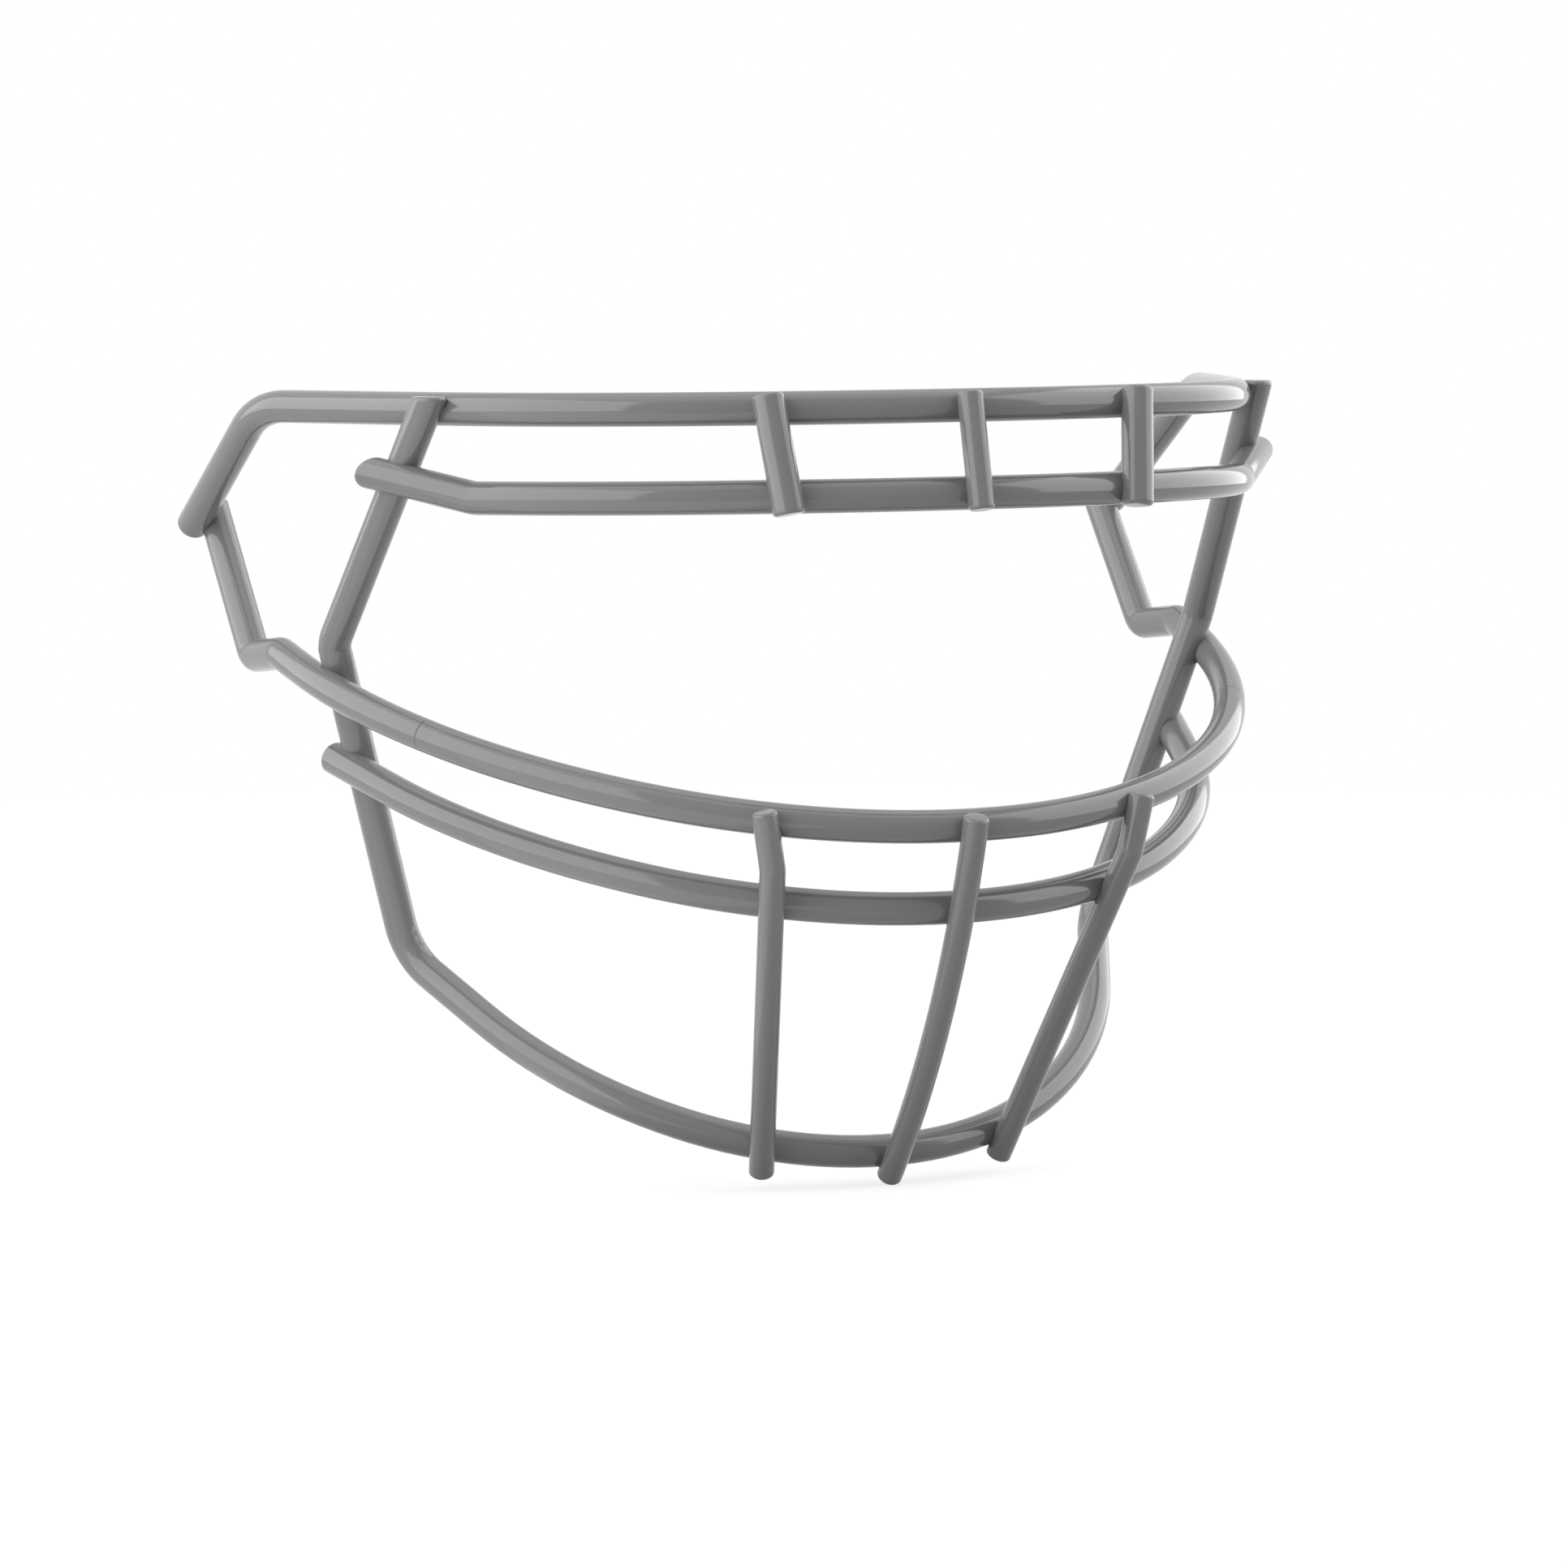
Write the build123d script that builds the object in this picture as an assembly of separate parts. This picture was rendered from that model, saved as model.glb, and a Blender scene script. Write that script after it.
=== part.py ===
"""Football helmet facemask: a guard of bent steel wires, welded where they cross, in one coat.

Millimetres, +Z up. Angles, tilts, drops and splays are in degrees. The front faces -Y, the wearer's
left is +X, and the origin is the middle of the guard's box. Each bar is bent as on a wire bender: arcs
and straight runs, outwards from its middle. The wires that cross a bar are laid on it: their places
follow from the bar, the two wire sizes and the depth of the weld, so the guard stays joined when a
size is changed.
"""

from build123d import *

import os
from math import atan2, cos, degrees, radians, sin, sqrt, tan

# Coated wire sizes
bar_diameter = 7.0
rod_diameter = 5.46
outer_rod_diameter = 6.74
end_round = 0.8
seam_break = 0.15
seam_land = 0.5
trim_allowance = 5.0

# How deep two crossing wires are set into each other at a weld
bar_weld_depth = 2.26
jaw_tip_weld_depth = 3.62
lower_brow_tip_weld_depth = 3.75
rod_weld_depth = 1.25
outer_rod_weld_depth = 2.1

# Brow bar: its middle's axis is the layout's zero
brow_front_radius = 130.2
brow_front_angle = 22.7
brow_side_radius = 78.0
brow_side_angle = 47.1
brow_side_run = 57.0
brow_tilt = -1.3
brow_corner_radius = 25.7
brow_end_run = 49.9
brow_end_drop = 34.0
brow_end_splay = 0.6

# Lower brow bar
lower_brow_forward = 4.37
lower_brow_below = 17.8
lower_brow_front_radius = 111.5
lower_brow_front_angle = 33.2
lower_brow_side_radius = 86.1
lower_brow_side_angle = 24.7
lower_brow_side_run = 5.2
lower_brow_tilt = -1.73
lower_brow_corner_radius = 7.7
lower_brow_cut_tilt = 22.0
lower_brow_tip_past_weld = 5.5

# Upper jaw bar, to its seams, and the side wires that carry on behind them
upper_jaw_forward = 2.41
upper_jaw_below = 86.6
upper_jaw_front_radius = 98.4
upper_jaw_front_angle = 36.3
upper_jaw_side_radius = 121.6
upper_jaw_side_angle = 27.1
upper_jaw_tilt = 15.8
side_wire_front_angle = 20.1
side_wire_front_run = 10.3
side_wire_step_radius = 4.0
side_wire_step_run = 17.0
side_wire_step_drop = 6.5
side_wire_step_splay = -0.8
side_wire_corner_radius = 3.9
side_wire_weld_from_brow_tip = 2.73
side_wire_tip_past_weld = 3.8

# Lower jaw bar
lower_jaw_back = 3.55
lower_jaw_below = 104.3
lower_jaw_front_radius = 90.0
lower_jaw_front_angle = 40.3
lower_jaw_side_radius = 118.2
lower_jaw_side_angle = 33.5
lower_jaw_side_run = 20.1
lower_jaw_tilt = 16.1
lower_jaw_tip_past_weld = 5.6

# Chin hoop: round the chin and up its two legs, which lie inside the jaw bars
chin_back = 35.1
chin_below = 159.8
chin_front_radius = 73.6
chin_front_angle = 35.3
chin_side_run = 24.9
chin_corner_radius = 11.9
leg_weld_on_upper_jaw = 154.8
leg_corner_below_weld = 45.9
leg_top_past_weld = 7.4

# Uprights, from the legs' tops to the brow bar
upright_bend_radius = 9.0
upright_seam_below_corner = 1.3
upright_weld_on_brow = 114.9
upright_tip_past_weld = 4.3
upright_run_to_lower_brow = 46.5

# Lower rods. A station is a length of wire from its bar's middle
lower_rod_on_upper_jaw = 42.3
lower_rod_on_lower_jaw = 38.5
lower_rod_on_chin = 27.4
lower_rod_bend_above_weld = 11.2
lower_rod_bend_radius = 3.2
lower_rod_tip_above_weld = 2.8
lower_rod_tip_below_weld = 4.2
centre_rod_tip_above_weld = 4.2
centre_rod_tip_below_weld = 3.9

# Upper rods
upper_rod_on_brow = 41.4
upper_rod_on_lower_brow = 39.5
upper_rod_tip_above_weld = 2.3
upper_rod_tip_below_weld = 4.3
upper_centre_rod_tip_above_weld = 1.9
upper_centre_rod_tip_below_weld = 4.5

# Layout helpers: which way is out from the head, and how often a laid wire is settled on its bars
head_middle_back = 70.0
settling_rounds = 6


class Axis3:
    """The axis of a wire, laid out as arcs and straight runs in one plane, then on to points in space."""

    def __init__(self, point, heading, inward):
        self.point, self.heading, self.inward = point, heading, inward
        self.edges = []

    def arc(self, radius, angle):
        """An arc that turns inwards."""
        centre = self.point + self.inward * radius
        heading, inward = self.heading, self.inward

        def at(turn):
            return centre + (heading * sin(turn) - inward * cos(turn)) * radius

        turn = radians(angle)
        self.edges.append(Edge.make_three_point_arc(self.point, at(turn / 2), at(turn)))
        self.point = at(turn)
        self.heading = heading * cos(turn) + inward * sin(turn)
        self.inward = inward * cos(turn) - heading * sin(turn)
        return self

    def ahead(self, length):
        """The point a straight run would reach."""
        return self.point + self.heading * length

    def on(self, points, radii):
        """Straight runs through the points, with a bend at each but the last."""
        corners = [self.point, *points]
        for before, corner, after, radius in zip(corners, points, points[1:], radii):
            back = (before - corner).normalized()
            onward = (after - corner).normalized()
            half = radians(back.get_angle(onward)) / 2
            start = corner + back * (radius / tan(half))
            end = corner + onward * (radius / tan(half))
            middle = corner + (back + onward).normalized() * (radius / sin(half) - radius)
            self.edges.append(Edge.make_line(self.point, start))
            self.edges.append(Edge.make_three_point_arc(start, middle, end))
            self.point = end
        self.edges.append(Edge.make_line(self.point, points[-1]))
        self.heading = (points[-1] - self.point).normalized()
        self.point = points[-1]
        return self

    def wire(self):
        return Wire(self.edges)


def bar_axis(back, up, tilt):
    """A bar's axis at its middle, about to run out to the wearer's right."""
    slope = radians(tilt)
    return Axis3(Vector(0, back, up), Vector(-1, 0, 0), Vector(0, cos(slope), sin(slope)))


def direction(splay, drop):
    """Backwards, turned out from the head by splay and down by drop."""
    out, down = radians(splay), radians(drop)
    return Vector(-sin(out) * cos(down), cos(out) * cos(down), -sin(down))


def outward(point):
    """Level and away from the middle of the head."""
    return Vector(point.X, point.Y - head_middle_back, 0)


def beside(point, along, crossing, gap):
    """The point at a gap from an axis, square to it and to the wire that crosses it; minus is inside."""
    off = along.cross(crossing).normalized()
    if off.dot(outward(point)) < 0:
        off = -off
    return point + off * gap


def on_wire(wire, station):
    """A point on a wire's axis and its direction there, by length from the wire's start."""
    share = station / wire.length
    return wire.position_at(share), wire.tangent_at(share)


def laid_across(first, second, first_gap, second_gap):
    """Two axis points of a straight wire that is laid on two others."""
    start, end = first[0], second[0]
    for _ in range(settling_rounds):
        along = end - start
        start = beside(*first, along, first_gap)
        end = beside(*second, along, second_gap)
    return start, end


def reached(start, spot, gap):
    """The axis point where a straight wire from a fixed start is laid on another."""
    end = spot[0]
    for _ in range(settling_rounds):
        end = beside(*spot, end - start, gap)
    return end


def past(start, end, length):
    """The point at a length past the end of a run."""
    return end + (end - start).normalized() * length


def mirrored(edges):
    """The same axis on the wearer's left, run the other way."""
    return [edge.mirror(Plane.YZ) for edge in reversed(edges)]


def bent(edges, diameter, ends):
    """A wire bent along its axis. A tip has a rounded edge, a seam a broken one, and None a sharp one."""
    path = Wire(edges)
    section = Plane(origin=path @ 0, z_dir=path % 0) * Circle(diameter / 2)
    body = sweep(section, path=path)
    for spot, end in zip((path @ 0, path @ 1), ends):
        rims = body.edges().filter_by(GeomType.CIRCLE)
        rim = min(rims, key=lambda edge: (edge.arc_center - spot).length)
        if end == "seam":
            body = chamfer(rim, seam_break)
        elif end == "tip":
            body = fillet(rim, end_round)
    return body


def run_on(edges):
    """The same axis with straight runs added to both ends, for a body that is trimmed later."""
    path = Wire(edges)
    start, end = path @ 0, path @ 1
    lead = Edge.make_line(start - (path % 0) * trim_allowance, start)
    tail = Edge.make_line(end, end + (path % 1) * trim_allowance)
    return [lead, *edges, tail]


def trimmed(body, point, away):
    """The body without what lies beyond a plane through the point."""
    return split(body, bisect_by=Plane(point, z_dir=away), keep=Keep.BOTTOM)


def rounded(body, faces):
    """The body with the rims of its cut faces rounded."""
    return fillet([edge for face in faces for edge in face.edges()], end_round)


def brow_axis():
    """Half of the brow bar, and the two ends of its last run."""
    axis = bar_axis(0, 0, brow_tilt)
    axis.arc(brow_front_radius, brow_front_angle).arc(brow_side_radius, brow_side_angle)
    corner = axis.ahead(brow_side_run)
    tip = corner + direction(brow_end_splay, brow_end_drop) * brow_end_run
    axis.on([corner, tip], [brow_corner_radius])
    return axis, corner, tip


def upper_jaw_axis():
    """Half of the upper jaw bar, up to its seam."""
    axis = bar_axis(-upper_jaw_forward, -upper_jaw_below, upper_jaw_tilt)
    axis.arc(upper_jaw_front_radius, upper_jaw_front_angle)
    axis.arc(upper_jaw_side_radius, upper_jaw_side_angle)
    return axis.on([axis.ahead(seam_land)], [])


def side_wire_axis(jaw, brow_corner, brow_tip):
    """From the seam back along the jaw, over a step, and up to the inside of the brow bar's end."""
    axis = Axis3(jaw.point, jaw.heading, jaw.inward)
    axis.on([axis.ahead(seam_land)], [])
    axis.arc(upper_jaw_side_radius, side_wire_front_angle)
    step = axis.ahead(side_wire_front_run)
    corner = step + direction(side_wire_step_splay, side_wire_step_drop) * side_wire_step_run
    brow_end = (brow_tip - brow_corner).normalized()
    spot = (brow_tip - brow_end * side_wire_weld_from_brow_tip, brow_end)
    weld = reached(corner, spot, bar_weld_depth - bar_diameter)
    tip = past(corner, weld, side_wire_tip_past_weld)
    return axis.on([step, corner, tip], [side_wire_step_radius, side_wire_corner_radius])


def lower_jaw_axis():
    """Half of the lower jaw bar."""
    axis = bar_axis(lower_jaw_back, -lower_jaw_below, lower_jaw_tilt)
    axis.arc(lower_jaw_front_radius, lower_jaw_front_angle)
    axis.arc(lower_jaw_side_radius, lower_jaw_side_angle)
    return axis.on([axis.ahead(lower_jaw_side_run)], [])


def leg_ends(side, lower_jaw):
    """The corner under a leg and the top it runs to: a straight line inside both jaw bars."""
    on_upper = on_wire(side, leg_weld_on_upper_jaw)
    on_lower = on_wire(lower_jaw, lower_jaw.length - lower_jaw_tip_past_weld)
    gaps = (jaw_tip_weld_depth - bar_diameter, bar_weld_depth - bar_diameter)
    low, high = laid_across(on_lower, on_upper, *gaps)
    return past(high, low, leg_corner_below_weld), past(low, high, leg_top_past_weld)


def chin_axis(corner, seam):
    """Half of the chin hoop, in the plane that its middle and its leg's corner fix, and up the leg."""
    rise, depth = corner.Z + chin_below, corner.Y - chin_back
    axis = bar_axis(chin_back, -chin_below, degrees(atan2(rise, depth)))
    inward = axis.inward
    axis.arc(chin_front_radius, chin_front_angle)
    # The side arc is the one that meets both the front arc and the run to the corner smoothly
    to_corner = corner - axis.point
    sweep_radius = (to_corner.length**2 - chin_side_run**2) / (2 * to_corner.dot(axis.inward))
    centre = axis.point + axis.inward * sweep_radius
    from_centre = corner - centre
    bearing = atan2(from_centre.dot(inward), from_centre.dot(Vector(-1, 0, 0)))
    turn = degrees(bearing + atan2(sweep_radius, chin_side_run)) - chin_front_angle
    axis.arc(sweep_radius, turn)
    return axis.on([corner, seam], [chin_corner_radius])


def upright_axis(leg_corner, leg_top, tip):
    """The upright's axis: one bend up from the seam on the leg, then straight to its tip."""
    leg, rise = (leg_top - leg_corner).normalized(), (tip - leg_top).normalized()
    seam = leg_top - leg * upright_seam_below_corner
    # The bend is tangent to the straight run and ends in the seam, where it meets the leg at a slight angle
    square = (seam - leg_top) - rise * (seam - leg_top).dot(rise)
    reach = sqrt(2 * upright_bend_radius * square.length - square.length**2)
    end = seam - square + rise * reach
    centre = end + square.normalized() * upright_bend_radius
    middle = centre + ((seam - centre) + (end - centre)).normalized() * upright_bend_radius
    bend = Edge.make_three_point_arc(seam, middle, end)
    return seam, [bend, Edge.make_line(end, tip)]


def lower_brow_axis(upright_start, upright_end):
    """Half of the lower brow bar, with its end run laid on the outside of the upright."""
    axis = bar_axis(-lower_brow_forward, -lower_brow_below, lower_brow_tilt)
    axis.arc(lower_brow_front_radius, lower_brow_front_angle)
    axis.arc(lower_brow_side_radius, lower_brow_side_angle)
    corner = axis.ahead(lower_brow_side_run)
    along = (upright_end - upright_start).normalized()
    spot = (upright_start + along * upright_run_to_lower_brow, along)
    weld = reached(corner, spot, bar_diameter - lower_brow_tip_weld_depth)
    tip = past(corner, weld, lower_brow_tip_past_weld)
    return axis.on([corner, tip], [lower_brow_corner_radius])


def straight_rod(top_spot, low_spot, diameter, depth, above, below):
    """A straight rod laid on the outside of two bars."""
    gap = (bar_diameter + diameter) / 2 - depth
    top, low = laid_across(top_spot, low_spot, gap, gap)
    start, end = past(low, top, above), past(top, low, below)
    return [Edge.make_line(start, end)]


def bent_rod(top_spot, middle_spot, low_spot, diameter):
    """A rod laid straight on two bars, and bent above them to meet a third."""
    gap = (bar_diameter + diameter) / 2 - rod_weld_depth
    middle, low = laid_across(middle_spot, low_spot, gap, gap)
    bend = past(low, middle, lower_rod_bend_above_weld)
    top = reached(bend, top_spot, gap)
    start = past(bend, top, lower_rod_tip_above_weld)
    end = past(middle, low, lower_rod_tip_below_weld)
    axis = Axis3(start, (bend - start).normalized(), outward(start))
    return axis.on([bend, end], [lower_rod_bend_radius]).edges


def curved_rod(top_spot, middle_spot, low_spot, diameter):
    """A rod bent in one arc over the middles of three bars."""
    gap = (bar_diameter + diameter) / 2 - rod_weld_depth
    top = beside(*top_spot, middle_spot[0] - top_spot[0], gap)
    middle = beside(*middle_spot, low_spot[0] - top_spot[0], gap)
    low = beside(*low_spot, low_spot[0] - middle_spot[0], gap)
    arc = Edge.make_three_point_arc(top, middle, low)
    centre, radius = arc.arc_center, arc.radius
    inward, turn = (centre - top).normalized(), (top - centre).get_angle(low - centre)
    above, below = (
        degrees(length / radius) for length in (centre_rod_tip_above_weld, centre_rod_tip_below_weld)
    )
    start = Axis3(top, arc % 0, inward).arc(radius, -above)
    return Axis3(start.point, start.heading, start.inward).arc(radius, above + turn + below).edges


def make_parts():
    """Every piece of the guard by name, notched where it lies on another."""
    both_tips = ("tip", "tip")
    both_seams = ("seam", "seam")
    both_cut = (None, None)
    up = Vector(0, 0, 1)

    brow, brow_corner, brow_tip = brow_axis()
    jaw = upper_jaw_axis()
    side = side_wire_axis(jaw, brow_corner, brow_tip)
    lower_jaw = lower_jaw_axis()
    whole_side = Wire(jaw.edges + side.edges)
    leg_corner, leg_top = leg_ends(whole_side, lower_jaw.wire())

    brow_spot = on_wire(brow.wire(), upright_weld_on_brow)
    upright_weld = reached(leg_top, brow_spot, bar_diameter - bar_weld_depth)
    upright_tip = past(leg_top, upright_weld, upright_tip_past_weld)
    seam, upright = upright_axis(leg_corner, leg_top, upright_tip)
    chin = chin_axis(leg_corner, past(leg_corner, seam, trim_allowance))
    lower_brow = lower_brow_axis(leg_top, upright_tip)

    parts = {}
    for name, axis, ends in (
        ("brow_bar", brow, both_tips),
        ("upper_jaw_bar", jaw, both_seams),
        ("lower_jaw_bar", lower_jaw, both_tips),
    ):
        parts[name] = bent(mirrored(axis.edges) + axis.edges, bar_diameter, ends)

    # The legs' tops are cut level at their seams, and the lower brow bar's ends aslant across the back
    lean = radians(lower_brow_cut_tilt)
    back = Vector(0, cos(lean), sin(lean))
    chin_body = bent(mirrored(chin.edges) + chin.edges, bar_diameter, both_cut)
    parts["chin_hoop"] = trimmed(chin_body, seam, up) - parts["lower_jaw_bar"]
    lower_brow_path = run_on(mirrored(lower_brow.edges) + lower_brow.edges)
    lower_brow_body = trimmed(bent(lower_brow_path, bar_diameter, both_cut), lower_brow.point, back)
    end_faces = lower_brow_body.faces().filter_by(GeomType.PLANE)
    parts["lower_brow_bar"] = rounded(lower_brow_body, end_faces)

    sides = {}
    side_body = bent(side.edges, bar_diameter, ("seam", "tip"))
    sides["side_wire"] = side_body - parts["brow_bar"]
    upright_body = trimmed(bent(run_on(upright), bar_diameter, both_cut), seam, -up)
    upright_body = trimmed(upright_body, upright_tip, up)
    upright_body = rounded(upright_body, upright_body.faces().sort_by(Axis.Z)[-1:])
    sides["upright"] = upright_body - parts["brow_bar"] - parts["lower_brow_bar"]

    brow_wire, lower_brow_wire = brow.wire(), lower_brow.wire()
    jaw_wire, lower_jaw_wire, chin_wire = jaw.wire(), lower_jaw.wire(), chin.wire()
    upper_rod = straight_rod(
        on_wire(brow_wire, upper_rod_on_brow),
        on_wire(lower_brow_wire, upper_rod_on_lower_brow),
        outer_rod_diameter,
        outer_rod_weld_depth,
        upper_rod_tip_above_weld,
        upper_rod_tip_below_weld,
    )
    lower_rod = bent_rod(
        on_wire(jaw_wire, lower_rod_on_upper_jaw),
        on_wire(lower_jaw_wire, lower_rod_on_lower_jaw),
        on_wire(chin_wire, lower_rod_on_chin),
        rod_diameter,
    )
    upper_body = bent(upper_rod, outer_rod_diameter, both_tips)
    sides["upper_vertical"] = upper_body - parts["brow_bar"] - parts["lower_brow_bar"]
    lower_bars = (parts["upper_jaw_bar"], parts["lower_jaw_bar"], parts["chin_hoop"])
    lower_body = bent(lower_rod, rod_diameter, both_tips)
    for bar in lower_bars:
        lower_body -= bar
    sides["lower_vertical"] = lower_body

    for name, body in sides.items():
        parts[f"{name}_right"] = body
        parts[f"{name}_left"] = body.mirror(Plane.YZ)
        if name == "side_wire":
            parts["chin_hoop"] -= body
            parts["chin_hoop"] -= parts["side_wire_left"]

    centre_upper = straight_rod(
        on_wire(brow_wire, 0),
        on_wire(lower_brow_wire, 0),
        rod_diameter,
        rod_weld_depth,
        upper_centre_rod_tip_above_weld,
        upper_centre_rod_tip_below_weld,
    )
    upper_centre = bent(centre_upper, rod_diameter, both_tips)
    parts["upper_vertical_centre"] = upper_centre - parts["brow_bar"] - parts["lower_brow_bar"]
    centre_lower = curved_rod(
        on_wire(jaw_wire, 0), on_wire(lower_jaw_wire, 0), on_wire(chin_wire, 0), rod_diameter
    )
    lower_centre = bent(centre_lower, rod_diameter, both_tips)
    for bar in lower_bars:
        lower_centre -= bar
    parts["lower_vertical_centre"] = lower_centre
    return parts


def main():
    os.makedirs("parts", exist_ok=True)
    solids = {name: body.solid() for name, body in make_parts().items()}
    middle = Compound(list(solids.values())).bounding_box().center()
    for name, body in solids.items():
        export_step(body.moved(Location(-middle)), f"parts/{name}.step")


main()
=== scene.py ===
"""Football helmet facemask: the welded wire guard in its grey coat, on a pale studio floor.

Lengths are in metres, and the lens and its sensor in millimetres.
"""

import math

import bpy
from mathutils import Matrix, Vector


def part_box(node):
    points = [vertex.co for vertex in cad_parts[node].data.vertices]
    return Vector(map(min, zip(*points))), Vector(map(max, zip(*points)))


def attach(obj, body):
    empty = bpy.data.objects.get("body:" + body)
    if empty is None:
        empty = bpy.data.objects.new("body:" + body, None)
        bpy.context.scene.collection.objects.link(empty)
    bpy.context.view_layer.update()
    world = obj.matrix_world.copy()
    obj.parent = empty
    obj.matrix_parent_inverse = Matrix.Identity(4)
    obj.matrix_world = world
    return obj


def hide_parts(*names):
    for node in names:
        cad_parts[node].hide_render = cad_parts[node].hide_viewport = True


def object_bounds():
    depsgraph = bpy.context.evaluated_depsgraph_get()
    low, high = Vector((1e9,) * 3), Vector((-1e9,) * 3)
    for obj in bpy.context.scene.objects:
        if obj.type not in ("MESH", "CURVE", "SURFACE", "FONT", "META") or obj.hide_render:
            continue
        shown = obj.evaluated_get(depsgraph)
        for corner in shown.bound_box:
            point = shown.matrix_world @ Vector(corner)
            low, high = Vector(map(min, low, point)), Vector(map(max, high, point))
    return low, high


bl_info = {
    "name": "Football Helmet Facemask",
    "version": (1, 0, 0),
    "blender": (4, 5, 0),
    "location": "3D View > Sidebar > Facemask",
    "description": "Finishes a welded wire face guard and lights it on a studio floor",
    "category": "Object",
}

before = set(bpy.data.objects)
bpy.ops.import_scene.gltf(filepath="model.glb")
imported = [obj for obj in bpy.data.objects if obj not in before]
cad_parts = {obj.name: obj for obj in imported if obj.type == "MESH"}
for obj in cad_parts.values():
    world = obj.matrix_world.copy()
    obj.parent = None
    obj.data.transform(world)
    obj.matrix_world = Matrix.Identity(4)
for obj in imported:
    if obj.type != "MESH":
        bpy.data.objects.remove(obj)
CAD_LOW, CAD_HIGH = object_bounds()

BROW_BARS = ("brow_bar", "lower_brow_bar")
JAW_BARS = ("upper_jaw_bar", "lower_jaw_bar")
CHIN_AND_UPRIGHTS = ("chin_hoop", "upright_left", "upright_right")
SIDE_WIRES = ("side_wire_left", "side_wire_right")
VERTICALS = (
    "lower_vertical_left",
    "lower_vertical_centre",
    "lower_vertical_right",
    "upper_vertical_left",
    "upper_vertical_centre",
    "upper_vertical_right",
)

# How a wire's mesh is joined up and smoothed
MERGE_DISTANCE = 1e-6
SMOOTH_ANGLE = math.radians(35)

COAT_IOR = 1.5
RIPPLE_DETAIL = 2.0

# The coat's shine varies in soft patches, by this share of its roughness either way
SHINE_SPREAD_SHARE = 0.1
PATCH_SCALE = 35.0
PATCH_DETAIL = 3.0
PATCH_LOW, PATCH_HIGH = 0.3, 0.7

WHITE = (1, 1, 1, 1)

# Near the guard the floor is a grey that takes the shadow, and a glow that lifts it to white
SHADOW_CATCHER_GREY = (0.3, 0.3, 0.3, 1)
GLOW_UNDER_SHADOW = 0.75

# Where the floor starts to fade to plain white, as a share of the shadow's reach
FADE_START_SHARE = 0.5

# The guard stands on the floor, and the fill lies just over it
FLOOR_HEIGHT = CAD_LOW.z
FILL_LIFT = 0.004

# How far the upright soft boxes stand from the guard
SIDE_BOX_DISTANCE = 0.95

# A lamp's turn about the guard's left-right axis
FACING_DOWN, FACING_UP = 0, math.pi

# From the edge of the brow bar's box to its axis
BAR_RADIUS = 0.0035

SENSOR_WIDTH = 36
CLIP_START, CLIP_END = 0.05, 50


def clear_selection():
    """Deselects everything, so that the next operator acts on its own piece alone."""
    if bpy.context.object is not None and bpy.context.object.mode != "OBJECT":
        bpy.ops.object.mode_set(mode="OBJECT")
    bpy.ops.object.select_all(action="DESELECT")


def pick(piece):
    """Selects one piece and makes it active."""
    clear_selection()
    piece.select_set(True)
    bpy.context.view_layer.objects.active = piece


def new_tree_node(tree, kind, label, place):
    """A shader node with its label and place."""
    node = tree.nodes.new(kind)
    node.label, node.location = label, place
    return node


def coat_ripple_group():
    """The shallow ripple that a baked powder coat levels out to, as a height and a shine."""
    found = bpy.data.node_groups.get("Coat ripple")
    if found:
        return found
    group = bpy.data.node_groups.new("Coat ripple", "ShaderNodeTree")
    for name, way in (
        ("Ripple size", "INPUT"),
        ("Roughness low", "INPUT"),
        ("Roughness high", "INPUT"),
        ("Height", "OUTPUT"),
        ("Roughness", "OUTPUT"),
    ):
        group.interface.new_socket(name, in_out=way, socket_type="NodeSocketFloat")
    start = new_tree_node(group, "NodeGroupInput", "Inputs", (-700, 0))
    end = new_tree_node(group, "NodeGroupOutput", "Outputs", (300, 0))
    place = new_tree_node(group, "ShaderNodeTexCoord", "Object place", (-700, 250))
    ripple = new_tree_node(group, "ShaderNodeTexNoise", "Levelled ripple", (-450, 200))
    ripple.inputs["Detail"].default_value = RIPPLE_DETAIL
    patches = new_tree_node(group, "ShaderNodeTexNoise", "Shine patches", (-450, -100))
    patches.inputs["Scale"].default_value = PATCH_SCALE
    patches.inputs["Detail"].default_value = PATCH_DETAIL
    shine = new_tree_node(group, "ShaderNodeMapRange", "Shine", (-100, -100))
    shine.inputs["From Min"].default_value = PATCH_LOW
    shine.inputs["From Max"].default_value = PATCH_HIGH
    link = group.links.new
    link(place.outputs["Object"], ripple.inputs["Vector"])
    link(place.outputs["Object"], patches.inputs["Vector"])
    link(start.outputs["Ripple size"], ripple.inputs["Scale"])
    link(patches.outputs["Fac"], shine.inputs["Value"])
    link(start.outputs["Roughness low"], shine.inputs["To Min"])
    link(start.outputs["Roughness high"], shine.inputs["To Max"])
    link(ripple.outputs["Fac"], end.inputs["Height"])
    link(shine.outputs["Result"], end.inputs["Roughness"])
    return group


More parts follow.
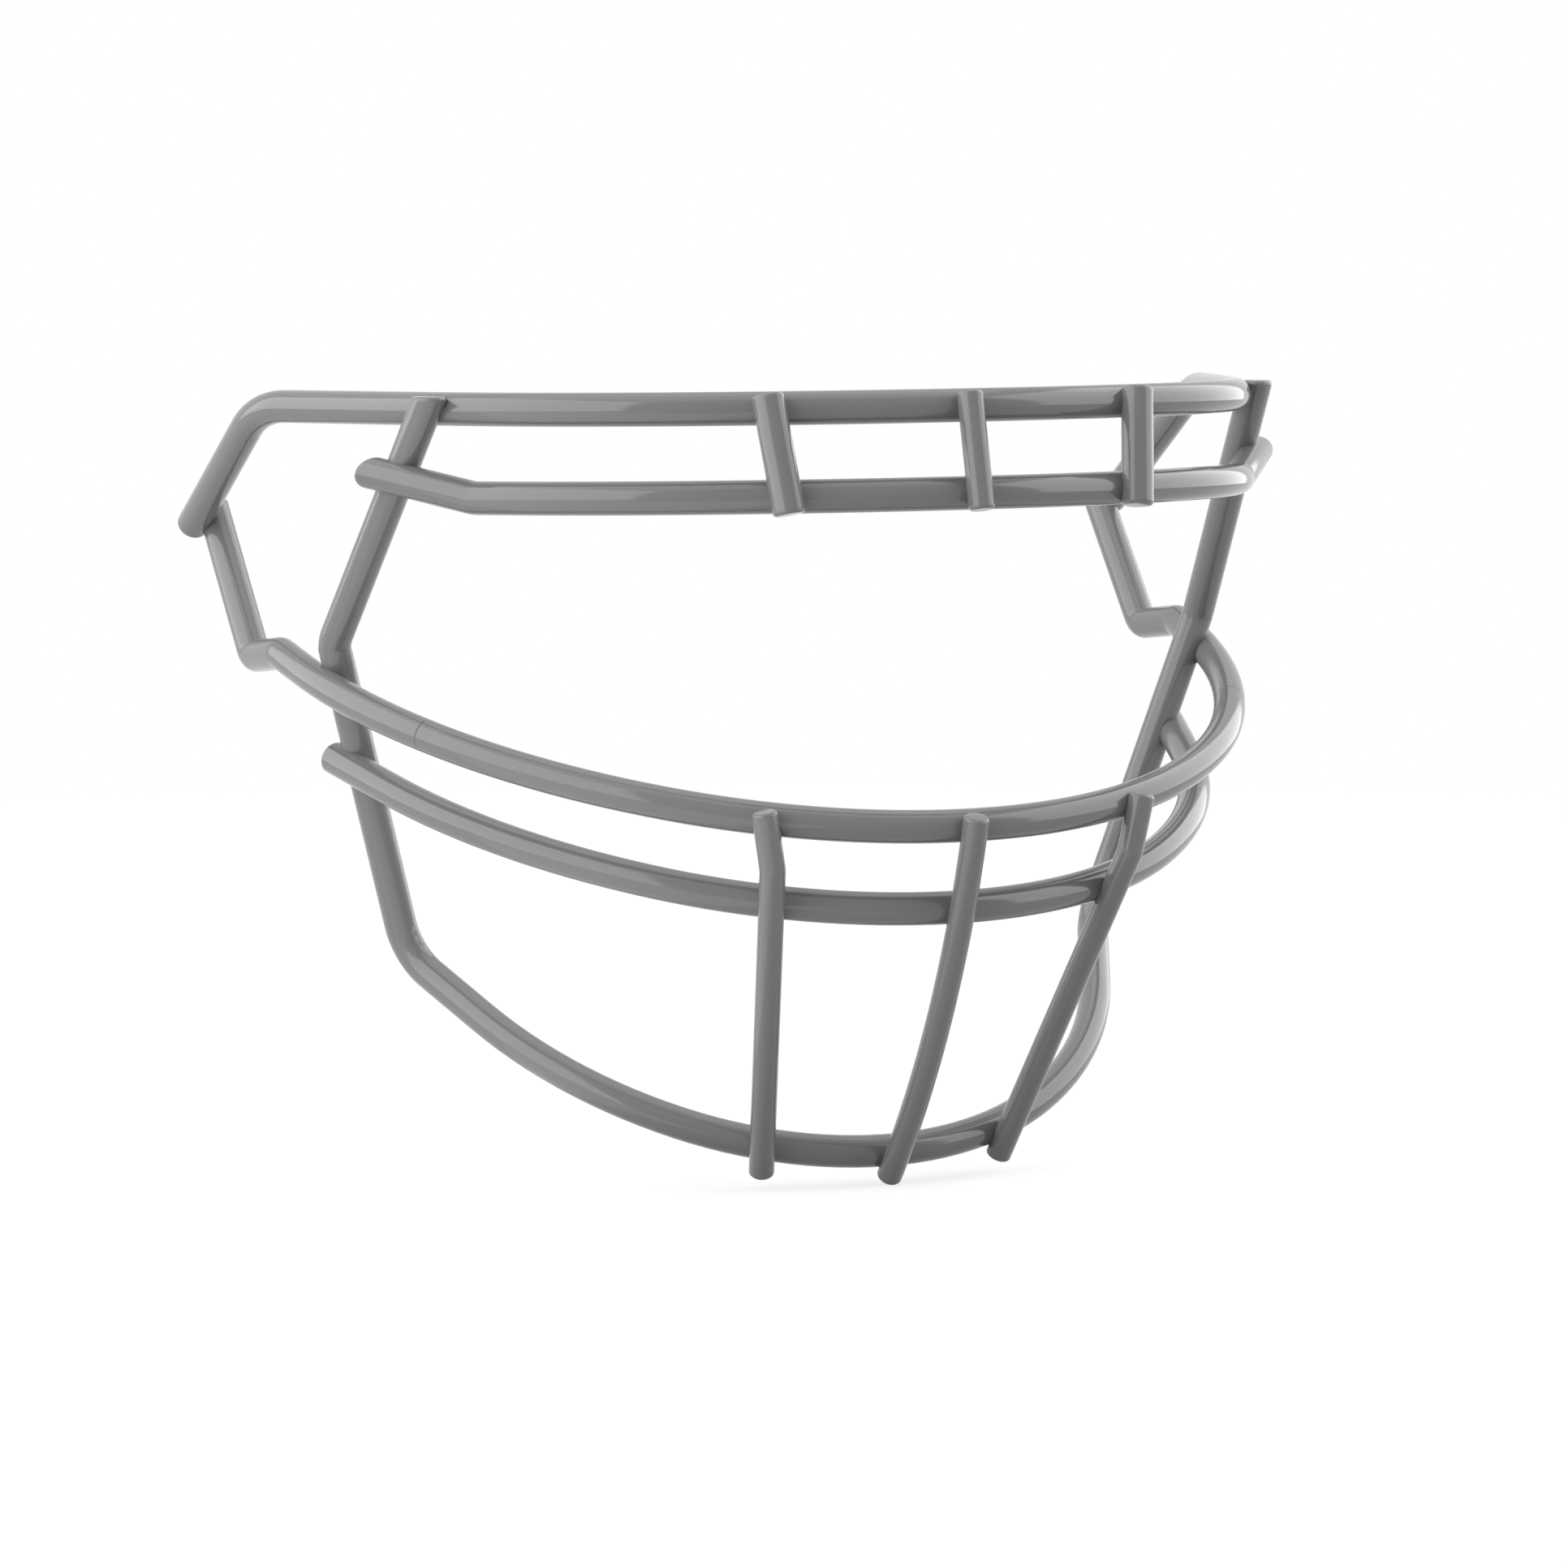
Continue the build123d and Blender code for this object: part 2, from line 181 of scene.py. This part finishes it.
def coat_material(coat):
    """Semi-gloss grey coat: one pigment, a shallow ripple and a slightly uneven shine."""
    found = bpy.data.materials.get("Grey coat")
    if found:
        return found
    material = bpy.data.materials.new("Grey coat")
    material.use_nodes = True
    material.diffuse_color = (*coat.colour, 1)
    tree = material.node_tree
    tree.nodes.clear()
    output = new_tree_node(tree, "ShaderNodeOutputMaterial", "Surface", (500, 0))
    paint = new_tree_node(tree, "ShaderNodeBsdfPrincipled", "Grey coat", (200, 0))
    paint.inputs["Base Color"].default_value = (*coat.colour, 1)
    paint.inputs["IOR"].default_value = COAT_IOR
    ripple = new_tree_node(tree, "ShaderNodeGroup", "Ripple", (-300, -100))
    ripple.node_tree = coat_ripple_group()
    ripple.inputs["Ripple size"].default_value = coat.ripple_scale
    ripple.inputs["Roughness low"].default_value = coat.roughness * (1 - SHINE_SPREAD_SHARE)
    ripple.inputs["Roughness high"].default_value = coat.roughness * (1 + SHINE_SPREAD_SHARE)
    bump = new_tree_node(tree, "ShaderNodeBump", "Ripple bump", (-50, -250))
    bump.inputs["Strength"].default_value = 1
    bump.inputs["Distance"].default_value = coat.ripple_depth
    link = tree.links.new
    link(ripple.outputs["Roughness"], paint.inputs["Roughness"])
    link(ripple.outputs["Height"], bump.inputs["Height"])
    link(bump.outputs["Normal"], paint.inputs["Normal"])
    link(paint.outputs["BSDF"], output.inputs["Surface"])
    return material


def coat_wire(node, material):
    """Makes a smooth copy of a wire from the frame and gives it the coat."""
    pick(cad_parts[node])
    bpy.ops.object.duplicate()
    wire = bpy.context.object
    wire.name = node + "_coated"

    # The copy leaves the marks and the parent of the frame's own wire behind
    for name in [key for key in wire.keys() if key.startswith("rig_")]:
        del wire[name]
    wire.parent = None

    bpy.ops.object.mode_set(mode="EDIT")
    bpy.ops.mesh.select_all(action="SELECT")
    bpy.ops.mesh.customdata_custom_splitnormals_clear()
    bpy.ops.mesh.remove_doubles(threshold=MERGE_DISTANCE)
    bpy.ops.object.mode_set(mode="OBJECT")
    bpy.ops.object.shade_smooth_by_angle(angle=SMOOTH_ANGLE)
    wire.data.materials.clear()
    wire.data.materials.append(material)
    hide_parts(node)
    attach(wire, "root")


def coat_wires(context, nodes):
    """Coats each of the named wires."""
    material = coat_material(context.scene.facemask_coat)
    for node in nodes:
        coat_wire(node, material)


def background_rays(tree, x, y):
    """A mask of the rays that see the background: camera, glossy and transmission rays."""
    rays = new_tree_node(tree, "ShaderNodeLightPath", "Ray kind", (x, y))
    glossy = new_tree_node(tree, "ShaderNodeMath", "Camera or glossy", (x + 250, y))
    seen = new_tree_node(tree, "ShaderNodeMath", "Or transmission", (x + 500, y))
    glossy.operation = seen.operation = "MAXIMUM"
    link = tree.links.new
    link(rays.outputs["Is Camera Ray"], glossy.inputs[0])
    link(rays.outputs["Is Glossy Ray"], glossy.inputs[1])
    link(glossy.outputs["Value"], seen.inputs[0])
    link(rays.outputs["Is Transmission Ray"], seen.inputs[1])
    return seen.outputs["Value"]


def floor_material(stage):
    """Pale floor: white as a background, a little darker in the shadow, grey to all other rays."""
    material = bpy.data.materials.new("Studio floor")
    material.use_nodes = True
    tree = material.node_tree
    tree.nodes.clear()
    output = new_tree_node(tree, "ShaderNodeOutputMaterial", "Surface", (700, 0))
    seen = background_rays(tree, -500, 400)
    matt = new_tree_node(tree, "ShaderNodeBsdfDiffuse", "Matt floor", (0, 150))
    matt.inputs["Color"].default_value = (*stage.floor_colour, 1)
    shaded = new_tree_node(tree, "ShaderNodeBsdfDiffuse", "Shadow catcher", (0, 0))
    shaded.inputs["Color"].default_value = SHADOW_CATCHER_GREY
    glow = new_tree_node(tree, "ShaderNodeEmission", "White under shadow", (0, -150))
    glow.inputs["Strength"].default_value = GLOW_UNDER_SHADOW
    near = new_tree_node(tree, "ShaderNodeAddShader", "White with shadow", (250, -80))
    place = new_tree_node(tree, "ShaderNodeTexCoord", "Place on the floor", (-700, -300))
    reach = new_tree_node(tree, "ShaderNodeVectorMath", "From the middle", (-500, -300))
    reach.operation = "LENGTH"
    fade = new_tree_node(tree, "ShaderNodeMapRange", "Fade to white", (-250, -300))
    fade.inputs["From Min"].default_value = stage.shadow_reach * FADE_START_SHARE
    fade.inputs["From Max"].default_value = stage.shadow_reach
    white = new_tree_node(tree, "ShaderNodeEmission", "White ground", (0, -300))
    ground = new_tree_node(tree, "ShaderNodeMixShader", "Near or far", (450, -150))
    mix = new_tree_node(tree, "ShaderNodeMixShader", "By ray", (580, 0))
    link = tree.links.new
    link(shaded.outputs["BSDF"], near.inputs[0])
    link(glow.outputs["Emission"], near.inputs[1])
    link(place.outputs["Object"], reach.inputs[0])
    link(reach.outputs["Value"], fade.inputs["Value"])
    link(fade.outputs["Result"], ground.inputs["Fac"])
    link(near.outputs["Shader"], ground.inputs[1])
    link(white.outputs["Emission"], ground.inputs[2])
    link(seen, mix.inputs["Fac"])
    link(matt.outputs["BSDF"], mix.inputs[1])
    link(ground.outputs["Shader"], mix.inputs[2])
    link(mix.outputs["Shader"], output.inputs["Surface"])
    return material


def add_floor(stage):
    """The floor under the guard."""
    clear_selection()
    bpy.ops.mesh.primitive_plane_add(size=2 * stage.floor_reach, location=(0, 0, FLOOR_HEIGHT))
    floor = bpy.context.object
    floor.name = "studio_floor"
    floor.data.materials.append(floor_material(stage))


def add_room(stage):
    """A room that is white as a background and lights the guard softly."""
    world = bpy.data.worlds.new("Studio")
    bpy.context.scene.world = world
    world.use_nodes = True
    tree = world.node_tree
    tree.nodes.clear()
    output = new_tree_node(tree, "ShaderNodeOutputWorld", "World", (500, 0))
    seen = background_rays(tree, -600, 200)
    light = new_tree_node(tree, "ShaderNodeBackground", "Room light", (0, 0))
    light.inputs["Color"].default_value = WHITE
    light.inputs["Strength"].default_value = stage.room_light
    white = new_tree_node(tree, "ShaderNodeBackground", "White room", (0, -150))
    white.inputs["Color"].default_value = WHITE
    white.inputs["Strength"].default_value = 1
    mix = new_tree_node(tree, "ShaderNodeMixShader", "By ray", (250, 0))
    link = tree.links.new
    link(seen, mix.inputs["Fac"])
    link(light.outputs["Background"], mix.inputs[1])
    link(white.outputs["Background"], mix.inputs[2])
    link(mix.outputs["Shader"], output.inputs["Surface"])


def add_lamp(name, place, turn, width, height, strength):
    """A rectangular area lamp that the camera doesn't see."""
    clear_selection()
    bpy.ops.object.light_add(type="AREA", location=place, rotation=turn)
    lamp = bpy.context.object
    lamp.name = name
    lamp.data.shape = "RECTANGLE"
    lamp.data.size, lamp.data.size_y = width, height
    lamp.data.energy = strength * math.pi * width * height
    lamp.visible_camera = False


def add_side_box(name, bearing, width, height, strength):
    """A soft box on the floor that faces the guard; its bearing turns to the wearer's right."""
    away = Vector((-math.sin(bearing), -math.cos(bearing), 0))
    place = away * SIDE_BOX_DISTANCE
    place.z = FLOOR_HEIGHT + height / 2
    turn = (-away).to_track_quat("-Z", "Y").to_euler()
    add_lamp(name, place, turn, width, height, strength)


def add_lamps():
    """The soft boxes left and right in the picture, over the guard and on the floor before it."""
    add_side_box("Left soft box", bearing=math.radians(95), width=1.95, height=1.7, strength=2.15)
    add_side_box("Right soft box", bearing=math.radians(-83), width=1.75, height=1.5, strength=2.0)
    over = (0, 0.1, 2.0)
    down = (FACING_DOWN, 0, 0)
    add_lamp("Top soft box", over, down, width=2.2, height=2.2, strength=0.7)
    before = (-0.35, -0.2, FLOOR_HEIGHT + FILL_LIFT)
    up = (FACING_UP, 0, 0)
    add_lamp("Floor fill", before, up, width=0.56, height=0.44, strength=0.6)


def add_camera(stage):
    """The camera, placed from the middle of the brow bar's axis."""
    clear_selection()
    low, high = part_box("brow_bar")
    brow_middle = Vector((0, low.y + BAR_RADIUS, high.z - BAR_RADIUS))
    place = brow_middle + Vector(stage.camera_place)
    turn = (math.radians(90) - stage.camera_elevation, 0, -stage.camera_azimuth)
    bpy.ops.object.camera_add(location=place, rotation=turn)
    camera = bpy.context.object
    camera.name = "Camera"
    camera.data.sensor_width = SENSOR_WIDTH
    camera.data.lens = stage.lens
    camera.data.clip_start, camera.data.clip_end = CLIP_START, CLIP_END
    bpy.context.scene.camera = camera


class CoatSettings(bpy.types.PropertyGroup):
    """The baked coat on every wire."""

    colour: bpy.props.FloatVectorProperty(
        name="Coat colour",
        description="Pigment of the grey coat",
        subtype="COLOR",
        size=3,
        min=0,
        max=1,
        default=(0.18, 0.18, 0.18),
    )
    roughness: bpy.props.FloatProperty(
        name="Coat roughness",
        description="How soft the coat's reflections are",
        subtype="FACTOR",
        min=0,
        max=1,
        default=0.11,
    )
    ripple_scale: bpy.props.FloatProperty(
        name="Ripple scale",
        description="How fine the coat's levelled ripple is",
        default=260.0,
    )
    ripple_depth: bpy.props.FloatProperty(
        name="Ripple depth",
        description="Height of the coat's levelled ripple",
        unit="LENGTH",
        default=0.000006,
        precision=6,
    )


class StageSettings(bpy.types.PropertyGroup):
    """The floor, the room and the camera."""

    floor_colour: bpy.props.FloatVectorProperty(
        name="Floor colour",
        description="Colour of the studio floor in the light that it throws back",
        subtype="COLOR",
        size=3,
        min=0,
        max=1,
        default=(0.4, 0.4, 0.4),
    )
    floor_reach: bpy.props.FloatProperty(
        name="Floor reach",
        description="Half the width of the studio floor",
        unit="LENGTH",
        default=6.0,
    )
    shadow_reach: bpy.props.FloatProperty(
        name="Shadow reach",
        description="How far from the guard the floor still shows its shadow",
        unit="LENGTH",
        default=0.8,
    )
    room_light: bpy.props.FloatProperty(
        name="Room light",
        description="Strength of the light from the room itself",
        default=0.3,
    )
    lens: bpy.props.FloatProperty(
        name="Lens",
        description="Focal length on a 36 mm wide sensor",
        unit="CAMERA",
        default=151.9,
    )
    camera_place: bpy.props.FloatVectorProperty(
        name="Camera place",
        description="Camera's place from the middle of the brow bar's axis",
        subtype="TRANSLATION",
        size=3,
        default=(-0.6032314, -1.2193839, 0.0618115),
    )
    camera_azimuth: bpy.props.FloatProperty(
        name="Camera azimuth",
        description="Turn of the view to the wearer's right of straight on",
        subtype="ANGLE",
        default=math.radians(24.798),
    )
    camera_elevation: bpy.props.FloatProperty(
        name="Camera elevation",
        description="How far the view looks down",
        subtype="ANGLE",
        default=math.radians(5.879),
    )


class FACEMASK_OT_brow_bars(bpy.types.Operator):
    """Coat the two bars over the brow"""

    bl_idname = "facemask.brow_bars"
    bl_label = "Brow Bars"

    def execute(self, context):
        coat_wires(context, BROW_BARS)
        return {"FINISHED"}


class FACEMASK_OT_jaw_bars(bpy.types.Operator):
    """Coat the two bars over the jaw"""

    bl_idname = "facemask.jaw_bars"
    bl_label = "Jaw Bars"

    def execute(self, context):
        coat_wires(context, JAW_BARS)
        return {"FINISHED"}


class FACEMASK_OT_chin_hoop(bpy.types.Operator):
    """Coat the chin hoop and the two uprights on its legs"""

    bl_idname = "facemask.chin_hoop"
    bl_label = "Chin Hoop and Uprights"

    def execute(self, context):
        coat_wires(context, CHIN_AND_UPRIGHTS)
        return {"FINISHED"}


class FACEMASK_OT_side_wires(bpy.types.Operator):
    """Coat the wires behind the upper jaw bar"""

    bl_idname = "facemask.side_wires"
    bl_label = "Side Wires"

    def execute(self, context):
        coat_wires(context, SIDE_WIRES)
        return {"FINISHED"}


class FACEMASK_OT_verticals(bpy.types.Operator):
    """Coat the short wires that cross the bars"""

    bl_idname = "facemask.verticals"
    bl_label = "Verticals"

    def execute(self, context):
        coat_wires(context, VERTICALS)
        return {"FINISHED"}


class FACEMASK_OT_stage(bpy.types.Operator):
    """Set the guard on a pale floor in soft light, with the camera in front of it"""

    bl_idname = "facemask.stage"
    bl_label = "Stage"

    def execute(self, context):
        stage = context.scene.facemask_stage
        add_floor(stage)
        add_room(stage)
        add_lamps()
        add_camera(stage)
        context.scene.view_settings.view_transform = "Standard"
        return {"FINISHED"}


class FACEMASK_PT_sidebar(bpy.types.Panel):
    """Lists the guard's coat, its stage and its pieces"""

    bl_label = "Facemask"
    bl_space_type = "VIEW_3D"
    bl_region_type = "UI"
    bl_category = "Facemask"

    def draw(self, context):
        coat, stage = context.scene.facemask_coat, context.scene.facemask_stage
        column = self.layout.column()
        for name in ("colour", "roughness", "ripple_scale", "ripple_depth"):
            column.prop(coat, name)
        for name in ("floor_colour", "floor_reach", "shadow_reach", "room_light"):
            column.prop(stage, name)
        for name in ("lens", "camera_place", "camera_azimuth", "camera_elevation"):
            column.prop(stage, name)
        for operator in OPERATORS:
            column.operator(operator.bl_idname)


OPERATORS = (
    FACEMASK_OT_brow_bars,
    FACEMASK_OT_jaw_bars,
    FACEMASK_OT_chin_hoop,
    FACEMASK_OT_side_wires,
    FACEMASK_OT_verticals,
    FACEMASK_OT_stage,
)
CLASSES = (CoatSettings, StageSettings, *OPERATORS, FACEMASK_PT_sidebar)


def register():
    """Adds the classes and the settings."""
    for cls in CLASSES:
        bpy.utils.register_class(cls)
    bpy.types.Scene.facemask_coat = bpy.props.PointerProperty(type=CoatSettings)
    bpy.types.Scene.facemask_stage = bpy.props.PointerProperty(type=StageSettings)


def unregister():
    """Takes the settings and the classes out again."""
    del bpy.types.Scene.facemask_stage
    del bpy.types.Scene.facemask_coat
    for cls in reversed(CLASSES):
        bpy.utils.unregister_class(cls)


def main():
    """Makes the guard and its stage."""
    register()
    bpy.ops.facemask.brow_bars()
    bpy.ops.facemask.jaw_bars()
    bpy.ops.facemask.chin_hoop()
    bpy.ops.facemask.side_wires()
    bpy.ops.facemask.verticals()
    bpy.ops.facemask.stage()


if __name__ == "__main__":
    main()
